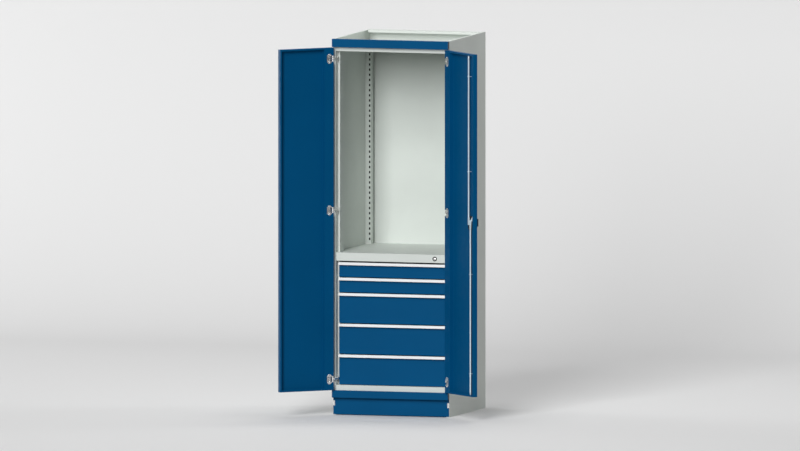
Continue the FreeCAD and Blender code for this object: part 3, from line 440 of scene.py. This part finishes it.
def screw_head(fittings):
    """A pan head: a low button whose height drops by most of itself inside a cross of two bars."""
    soft_share, recess_share = 0.6, 0.8
    head = turned_disc(fittings.screw_radius, fittings.screw_height)
    x, y = np.abs(head[..., 0]), np.abs(head[..., 1])
    along, across = fittings.recess_length, fittings.recess_width
    soft = across * soft_share
    level_bar = step(x, along, soft) * step(y, across, soft)
    upright_bar = step(y, along, soft) * step(x, across, soft)
    sunk = np.maximum(level_bar, upright_bar) * fittings.screw_height * recess_share
    head[..., 2] -= np.where(head[..., 2] > 0.0, sunk, 0.0)
    return head


def key_face(radius):
    """A lock's face: a low button with a slot, wider at one end, sunk into it. All sizes are shares of
    its radius."""
    height_share, sunk_share = 0.24, 0.2
    narrow, widening = 0.12, 0.08
    wide_place, wide_half, slot_half = 0.33, 0.2, 0.66
    side_soft, end_soft = 0.05, 0.06
    face = turned_disc(radius, height_share * radius, rings=17, columns=56)
    x, y = face[..., 0] / radius, face[..., 1] / radius
    wide = narrow + widening * step(np.abs(y - wide_place), wide_half, end_soft)
    slot = step(np.abs(x), wide, side_soft) * step(np.abs(y), slot_half, end_soft)
    face[..., 2] -= np.where(face[..., 2] > 0.0, slot * sunk_share * radius, 0.0)
    return face


def lock_rod(low, high, radius, cam_flat, tip_flat, bend, up):
    """A door rod from its lowest to its highest corner: each section is a superellipse, a circle of the
    rod's radius along the shank, and a flat bar at the cam's end and at the tip, with a smooth step over
    the bend between them. Rows run from the cam's end to the tip, and up says that the tip is the upper
    end. The flat bars have the squareness added to the circle's power of 2."""
    bend_rows, shank_rows, columns = 13, 9, 28
    end_round, end_share = 0.001, 0.8
    tip_share, squareness = 0.62, 5.0
    middle, half = 0.5 * (low + high), 0.5 * (high - low)
    span = high[2] - low[2]
    near = cam_flat + bend * np.linspace(-0.5, 0.5, bend_rows)
    far = span - tip_flat - bend * np.linspace(0.5, -0.5, bend_rows)
    shank = np.linspace(near[-1], far[0], shank_rows)[1:-1]
    s = np.concatenate(([0.0, 0.0, end_round], near, shank, far, [span - end_round, span, span]))
    flat = step(s, cam_flat, bend) + step(span - s, tip_flat, bend)
    wide = np.where(s < 0.5 * span, half[0], tip_share * half[0])
    closed = np.ones_like(s)
    closed[[0, -1]] = 0.0
    closed[[1, -2]] = end_share
    angle = round_angles(columns)
    exponent = 2.0 / (2.0 + squareness * flat)[:, None]
    half_x = closed * (radius + (wide - radius) * flat)
    half_y = closed * (radius + (half[1] - radius) * flat)
    x = middle[0] + half_x[:, None] * signed_power(np.cos(angle), exponent)
    y = middle[1] + half_y[:, None] * signed_power(np.sin(angle), exponent)
    z = (low[2] + s if up else high[2] - s)[:, None]
    return np.stack(np.broadcast_arrays(x, y, z), axis=-1)[None]


def staple(reach, foot, wire):
    """A round wire bent over a rod: a leg up, half a circle about the origin, and a leg down to the foot.
    The wire's circle is carried along that line, in X and Y, and its ends are closed to points."""
    bend_rows, columns = 19, 14
    turn = np.linspace(0.0, math.pi, bend_rows)
    x = np.concatenate(([-reach, -reach], -reach * np.cos(turn), [reach, reach]))
    y = np.concatenate(([foot, 0.5 * foot], reach * np.sin(turn), [0.5 * foot, foot]))
    run = np.stack((np.gradient(x), np.gradient(y)), axis=-1)
    run /= np.linalg.norm(run, axis=1, keepdims=True)
    angle = round_angles(columns)
    rows = np.concatenate(([0], np.arange(len(x)), [len(x) - 1]))
    closed = np.concatenate(([0.0], np.ones(len(x)), [0.0]))[:, None] * wire
    out, across = closed * np.cos(angle), closed * np.sin(angle)
    wire_x = x[rows, None] + out * run[rows, 1:]
    wire_y = y[rows, None] - out * run[rows, :1]
    return np.stack((wire_x, wire_y, across), axis=-1)


def shade_sheet(low, high):
    """A flat strip between two corners: a superellipse of the eighth power carried upright, its ends
    closed."""
    columns, exponent = 32, 2.0 / 8.0
    middle, half = 0.5 * (low + high), 0.5 * (high - low)
    angle = round_angles(columns)
    closed = np.array([0.0, 1.0, 1.0, 0.0])[:, None]
    x = middle[0] + half[0] * closed * signed_power(np.cos(angle), exponent)
    y = middle[1] + half[1] * closed * signed_power(np.sin(angle), exponent)
    z = np.array([high[2], high[2], low[2], low[2]])[:, None]
    return np.stack(np.broadcast_arrays(x, y, z), axis=-1)


# Black end piece of a fascia: painted shade for its hollow end
def end_shade_plug(half_width, half_height, depth):
    """A plug for a fascia's open end: its rim is a superellipse of the ninth power, and its face drops
    towards the rim as the eighth power of the distance from its middle."""
    rings, columns, exponent = 12, 72, 2.0 / 9.0
    rim_drop = 0.3
    angle = round_angles(columns)
    out = np.linspace(0.0, 1.0, rings)
    r = np.concatenate((out, [1.0, 0.0]))[:, None]
    z = np.concatenate((depth * (1.0 - rim_drop * out**8), [0.0, 0.0]))[:, None]
    x = half_width * r * signed_power(np.cos(angle), exponent)
    y = half_height * r * signed_power(np.sin(angle), exponent)
    return np.stack(np.broadcast_arrays(x, y, z), axis=-1)


def swung(vectors, hand, turn_only=False, way=1.0):
    """Points of a shut door, or directions, turned open about its hinge axis, or shut where way is -1."""
    angle = way * hand * SHUT_ANGLE
    c, s = math.cos(angle), math.sin(angle)
    turn = np.array([[c, -s, 0.0], [s, c, 0.0], [0.0, 0.0, 1.0]])
    if turn_only:
        return vectors @ turn.T
    axis = np.array(JOINTS["right_door_swing"]["pos_m"]) * [hand, 1.0, 0.0]
    return (vectors - axis) @ turn.T + axis


def vertices(name):
    """A CAD node's vertices, as rows of X, Y and Z."""
    mesh = frame["nodes"][name].data
    places = np.zeros(len(mesh.vertices) * 3)
    mesh.vertices.foreach_get("co", places)
    return places.reshape(-1, 3)


def runs(heights):
    """Middles of like pieces one above the other: sorted heights part where they are RUN_GAP apart, and
    each run's middle is halfway between its ends."""
    z = np.sort(heights)
    parts = np.split(z, np.flatnonzero(np.diff(z) > RUN_GAP) + 1)
    return np.array([0.5 * (part[0] + part[-1]) for part in parts])


# Operators


def finishes_of(context):
    """The scene's colours and grain."""
    return context.scene.cabinet_finishes


class CABINET_OT_coat_sheet(Operator):
    """Powder coats of the carcass, the fronts and the drawer boxes"""

    bl_idname = "cabinet.coat_sheet"
    bl_label = "Coat the sheet metal"

    def execute(self, context):
        finishes = finishes_of(context)
        dress("grey_paint", powder_coat("grey_coat", finishes.grey, finishes))
        dress("blue_paint", powder_coat("blue_coat", finishes.blue, finishes))
        dress("box_paint", powder_coat("drawer_coat", finishes.box_grey, finishes))
        return {"FINISHED"}


class CABINET_OT_plate_steel(Operator):
    """Plating of the hinges, rods, clips and runners"""

    bl_idname = "cabinet.plate_steel"
    bl_label = "Plate the steel parts"

    def execute(self, context):
        finishes = finishes_of(context)
        even, upright, deep = (2.0, 2.0, 2.0), (1.0, 1.0, 30.0), (1.0, 40.0, 1.0)
        for slot, name, colour, roughness, stretch, metallic in (
            ("nickel", "nickel_plate", finishes.nickel, 0.24, even, 0.8),
            ("zinc", "zinc_plate", finishes.zinc, 0.32, upright, 0.35),
            ("clip_steel", "spring_steel", finishes.clip_steel, 0.26, upright, 1.0),
            ("runner_steel", "runner_plate", finishes.runner_steel, 0.34, deep, 1.0),
        ):
            dress(slot, plated(name, colour, roughness, stretch, finishes, metallic))
        return {"FINISHED"}


class CABINET_OT_finish_trim(Operator):
    """Anodised grip strips, and moulded plastic of the door lock"""

    bl_idname = "cabinet.finish_trim"
    bl_label = "Finish grips and lock"

    def execute(self, context):
        finishes = finishes_of(context)
        dress("anodised_strip", anodised("anodised_strip", finishes.strip, finishes))
        dress("black_plastic", moulded("lock_plastic", finishes.plastic, finishes))
        return {"FINISHED"}


class CABINET_OT_fit_screws(Operator):
    """Cross-recess screws of the hinge wings and the hinge cups"""

    bl_idname = "cabinet.fit_screws"
    bl_label = "Fit the hinge screws"

    def execute(self, context):
        fittings = context.scene.cabinet_fittings
        finish = bpy.data.materials["nickel_plate"]
        head = screw_head(fittings)
        for side, hand in HANDS:
            low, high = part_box(f"{side}_side_panel")
            edge, front = max(abs(low.x), abs(high.x)), low.y
            levels = runs(vertices(f"{side}_hinge_mounts")[:, 2])
            z = np.concatenate((levels - fittings.wing_screw_rise, levels + fittings.wing_screw_rise))
            acrosses = np.tile([0.0, 0.0, 1.0], (len(z), 1))
            place = hand * (edge - fittings.wing_seat), front + fittings.wing_depth, z
            points = np.stack(np.broadcast_arrays(*place), axis=-1)
            normals = np.tile([-float(hand), 0.0, 0.0], (len(z), 1))
            screws = set_on(head, points, normals, acrosses)
            surface_piece(f"{side}_wing_screws", screws, finish, "cabinet")
            z = np.concatenate((levels - fittings.cup_screw_rise, levels + fittings.cup_screw_rise))
            place = hand * (edge - fittings.cup_inset), front - fittings.cup_seat, z
            points = swung(np.stack(np.broadcast_arrays(*place), axis=-1), hand)
            normals = swung(np.tile([0.0, 1.0, 0.0], (len(z), 1)), hand, turn_only=True)
            screws = set_on(head, points, normals, acrosses)
            surface_piece(f"{side}_cup_screws", screws, finish, f"{side}_door")
        return {"FINISHED"}


class CABINET_OT_fit_key_faces(Operator):
    """Key faces of the drawer lock and of the turn handle"""

    bl_idname = "cabinet.fit_key_faces"
    bl_label = "Fit the key faces"

    def execute(self, context):
        fittings = context.scene.cabinet_fittings
        finish = bpy.data.materials["nickel_plate"]
        front = np.array([0.0, -1.0, 0.0])
        door_front = swung(front, 1, turn_only=True)
        for name, node, joint, radius, out in (
            ("drawer_lock_key_face", "lock_cylinder", "drawer_lock_turn", fittings.drawer_key_radius, front),
            ("handle_key_face", "turn_handle", "handle_turn", fittings.handle_key_radius, door_front),
        ):
            axis = np.array(JOINTS[joint]["pos_m"])
            point = axis + out * ((vertices(node) - axis) @ out).max()
            across = np.cross([0.0, 0.0, 1.0], out)
            grids = set_on(key_face(radius), point[None], out[None], across[None])
            surface_piece(name, grids, finish, JOINTS[joint]["child"])
        return {"FINISHED"}


class CABINET_OT_hang_rods(Operator):
    """Round rods with flat ends on the right door, and the wire staples that hold them"""

    bl_idname = "cabinet.hang_rods"
    bl_label = "Hang the door rods"

    def execute(self, context):
        fittings = context.scene.cabinet_fittings
        finish = bpy.data.materials["zinc_plate"]
        ends = fittings.rod_flat, fittings.rod_tip, fittings.rod_bend
        guides = swung(vertices("rod_guides"), 1, way=-1.0)
        lock = JOINTS["handle_turn"]["pos_m"][2]
        reach = fittings.rod_radius + fittings.staple_play + fittings.staple_wire
        loops = []
        for node, up in (("upper_rod", True), ("lower_rod", False)):
            shut = swung(vertices(node), 1, way=-1.0)
            low, high = shut.min(axis=0), shut.max(axis=0)
            bar = swung(lock_rod(low, high, fittings.rod_radius, *ends, up), 1)
            piece = surface_piece(f"{node}_bar", bar, finish, JOINTS[f"{node}_slide"]["child"])
            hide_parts(node)
            middle = 0.5 * (low + high)
            loop = staple(reach, guides[:, 1].min() - middle[1], fittings.staple_wire)
            for level in runs(guides[(guides[:, 2] > lock) == up, 2]):
                loops.append(loop + [middle[0], middle[1], level])
        piece = surface_piece("rod_staples", swung(np.stack(loops), 1), finish, "right_door")
        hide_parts("rod_guides")
        return {"FINISHED"}


class CABINET_OT_shade_fascia_ends(Operator):
    """Painted shade: black plastic end pieces in the open ends of the two fascias, dark as the shade inside them
    """

    bl_idname = "cabinet.plug_fascias"
    bl_label = "Plug the fascia ends"

    def execute(self, context):
        fittings = context.scene.cabinet_fittings
        finish = bpy.data.materials["lock_plastic"]
        gap, wall, depth = fittings.plug_gap, fittings.sheet_wall, fittings.plug_depth
        # Painted shade: black end pieces close the fascias' hollow ends, dark as the shade inside them
        for node in ("top_fascia", "bottom_fascia"):
            low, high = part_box(node)
            inner = low.y + wall, high.y
            plug = end_shade_plug(0.5 * (inner[1] - inner[0]) - gap, 0.5 * (high.z - low.z) - wall - gap, depth)
            middle = 0.5 * (inner[0] + inner[1]), 0.5 * (low.z + high.z)
            points = np.array([(low.x + depth + gap, *middle), (high.x - depth - gap, *middle)])
            normals = np.array([(-1.0, 0.0, 0.0), (1.0, 0.0, 0.0)])
            acrosses = np.tile([0.0, 1.0, 0.0], (2, 1))
            shade_plugs = set_on(plug, points, normals, acrosses)
            surface_piece(f"{node}_plugs", shade_plugs, finish, "cabinet")
        return {"FINISHED"}


class CABINET_OT_shade_slots(Operator):
    """Painted shade: black sheets behind the slots of the rear uprights, that make the slots dark as the shade
    inside
    """

    bl_idname = "cabinet.line_slots"
    bl_label = "Line the slots"

    def execute(self, context):
        fittings = context.scene.cabinet_fittings
        inside = fittings.sheet_wall + fittings.plug_gap
        posts = vertices("rear_uprights")
        strips = []
        for _, hand in HANDS:
            post = posts[posts[:, 0] * hand > 0.0]
            edge = np.abs(post[:, 0]).min() + inside
            x = np.sort(hand * np.array([edge, edge + fittings.shade_sheet_width]))
            y = post[:, 1].min() + inside
            z = post[:, 2].min() + fittings.shade_sheet_end, post[:, 2].max() - fittings.shade_sheet_end
            low = np.array([x[0], y, z[0]])
            high = np.array([x[1], y + fittings.shade_sheet_depth, z[1]])
            # Painted shade: a black sheet behind each upright's slots, standing for the shade inside the hollow
            # upright
            strips.append(shade_sheet(low, high))
        finish = bpy.data.materials["lock_plastic"]
        surface_piece("slot_liners", np.stack(strips), finish, "cabinet")
        return {"FINISHED"}


class CABINET_OT_cap_wall_holes(Operator):
    """Caps on the wall holes, inside the back panel"""

    bl_idname = "cabinet.cap_wall_holes"
    bl_label = "Cap the wall holes"

    def execute(self, context):
        fittings = context.scene.cabinet_fittings
        cap = turned_disc(fittings.cap_radius, fittings.cap_height)
        # The panel's depths end with its inner and its outer face
        digits = 5
        inner = np.unique(np.round(vertices("back_panel")[:, 1], digits))[-2]
        half, level = 0.5 * fittings.hole_spacing, CAD_BOX[1][2] - fittings.hole_drop
        points = np.array([(-half, inner, level), (half, inner, level)])
        normals = np.tile([0.0, -1.0, 0.0], (2, 1))
        acrosses = np.tile([1.0, 0.0, 0.0], (2, 1))
        finish = bpy.data.materials["grey_coat"]
        caps = set_on(cap, points, normals, acrosses)
        surface_piece("wall_hole_caps", caps, finish, "cabinet")
        return {"FINISHED"}


class CABINET_OT_set_stage(Operator):
    """Pale floor that sweeps up behind the cabinet, soft lamps and the camera"""

    bl_idname = "cabinet.set_stage"
    bl_label = "Set the stage"

    def execute(self, context):
        stage = context.scene.cabinet_stage
        self.floor(stage)
        for name, place, size in LAMPS:
            self.lamp(f"{name}_lamp", place, size, getattr(stage, f"{name}_power"))
        world = bpy.data.worlds.new("soft_sky")
        world.use_nodes = True
        sky = world.node_tree.nodes["Background"]
        sky.inputs["Color"].default_value = (1.0, 1.0, 1.0, 1.0)
        sky.inputs["Strength"].default_value = stage.sky
        context.scene.world = world
        context.scene.view_settings.view_transform = "Standard"
        self.camera(context.scene, stage)
        return {"FINISHED"}

    def floor(self, stage):
        """A strip whose section runs level, turns up through a quarter circle and ends upright."""
        sweep_rows = 25
        angle = np.linspace(0.0, math.pi / 2.0, sweep_rows)
        back = SWEEP_START + SWEEP_RADIUS
        y = np.concatenate(([FLOOR_FRONT], SWEEP_START + SWEEP_RADIUS * np.sin(angle), [back]))
        z = np.concatenate(([0.0], SWEEP_RADIUS - SWEEP_RADIUS * np.cos(angle), [BACKDROP_TOP]))
        x = np.array([-FLOOR_HALF_WIDTH, FLOOR_HALF_WIDTH])
        grid = np.stack(np.broadcast_arrays(x[:, None], y[None], z[None]), axis=-1)
        count = len(y)
        lower = np.arange(count - 1)
        quads = np.stack((lower, lower + count, lower + count + 1, lower + 1), axis=-1)
        mesh = bpy.data.meshes.new("floor")
        mesh.from_pydata(grid.reshape(-1, 3), [], quads)
        mesh.polygons.foreach_set("use_smooth", np.ones(len(quads), dtype=bool))
        finish, tree, surface, _ = shader("pale_floor", roughness=0.75, gloss=0.2)
        path = add(tree, "ShaderNodeLightPath").outputs
        seen = path["Is Camera Ray"]
        for ray in ("Is Glossy Ray", "Is Transmission Ray"):
            seen = add(tree, "ShaderNodeMath", {0: seen, 1: path[ray]}, operation="MAXIMUM").outputs["Value"]
        colours = {"Factor": seen, "A": (*stage.bounce, 1.0), "B": (*stage.floor, 1.0)}
        mixed = add(tree, "ShaderNodeMix", colours, data_type="RGBA")
        link(tree, mixed.outputs["Result"], surface, "Base Color")
        mesh.materials.append(finish)
        sheet = bpy.data.objects.new("floor", mesh)
        bpy.context.scene.collection.objects.link(sheet)

    def lamp(self, name, place, size, watts):
        """A square soft box that faces the cabinet's middle."""
        light = bpy.data.lights.new(name, "AREA")
        light.shape = "SQUARE"
        light.size = size
        light.energy = watts
        lamp = bpy.data.objects.new(name, light)
        lamp.location = place
        lamp.rotation_euler = (LAMP_AIM - Vector(place)).to_track_quat("-Z", "Y").to_euler()
        bpy.context.scene.collection.objects.link(lamp)

    def camera(self, scene, stage):
        """A parallel view with upright lines kept upright: right, up and back are the camera's own axes."""
        a, e = stage.azimuth, stage.elevation
        right = Vector((math.cos(a), math.sin(a), 0.0))
        up = Vector((-math.sin(a) * math.sin(e), math.cos(a) * math.sin(e), math.cos(e)))
        back = right.cross(up)
        lens = bpy.data.cameras.new("front_view")
        lens.type = "ORTHO"
        lens.ortho_scale = stage.view_width
        lens.clip_end = VIEW_END
        camera = bpy.data.objects.new("front_view", lens)
        turn = Matrix((right, up, back)).transposed().to_4x4()
        place = right * VIEW_RIGHT + up * VIEW_UP + back * VIEW_BACK
        camera.matrix_world = Matrix.Translation(place) @ turn
        scene.collection.objects.link(camera)
        scene.camera = camera


class CABINET_PT_looks(Panel):
    """Finishes, fittings and stage of the cabinet"""

    bl_idname = "CABINET_PT_looks"
    bl_label = "Tool cabinet"
    bl_space_type = "VIEW_3D"
    bl_region_type = "UI"
    bl_category = "Cabinet"

    def draw(self, context):
        for group in GROUPS:
            box = self.layout.box()
            for name in GROUPS[group].__annotations__:
                box.prop(getattr(context.scene, group), name)
        for operator in STEPS:
            self.layout.operator(operator.bl_idname)


GROUPS = {
    "cabinet_finishes": CabinetFinishes,
    "cabinet_fittings": CabinetFittings,
    "cabinet_stage": CabinetStage,
}
STEPS = (
    CABINET_OT_set_stage,
    CABINET_OT_coat_sheet,
    CABINET_OT_plate_steel,
    CABINET_OT_finish_trim,
    CABINET_OT_fit_screws,
    CABINET_OT_fit_key_faces,
    CABINET_OT_hang_rods,
    CABINET_OT_shade_fascia_ends,
    CABINET_OT_shade_slots,
    CABINET_OT_cap_wall_holes,
)
CLASSES = (*GROUPS.values(), *STEPS, CABINET_PT_looks)


def register():
    for kind in CLASSES:
        bpy.utils.register_class(kind)
    for name, kind in GROUPS.items():
        setattr(bpy.types.Scene, name, PointerProperty(type=kind))


def unregister():
    for name in GROUPS:
        delattr(bpy.types.Scene, name)
    for kind in reversed(CLASSES):
        bpy.utils.unregister_class(kind)


def main():
    """Register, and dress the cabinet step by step."""
    register()
    bpy.ops.cabinet.set_stage()
    bpy.ops.cabinet.coat_sheet()
    bpy.ops.cabinet.plate_steel()
    bpy.ops.cabinet.finish_trim()
    bpy.ops.cabinet.fit_screws()
    bpy.ops.cabinet.fit_key_faces()
    bpy.ops.cabinet.hang_rods()
    bpy.ops.cabinet.plug_fascias()
    bpy.ops.cabinet.line_slots()
    bpy.ops.cabinet.cap_wall_holes()


if __name__ == "__main__":
    main()
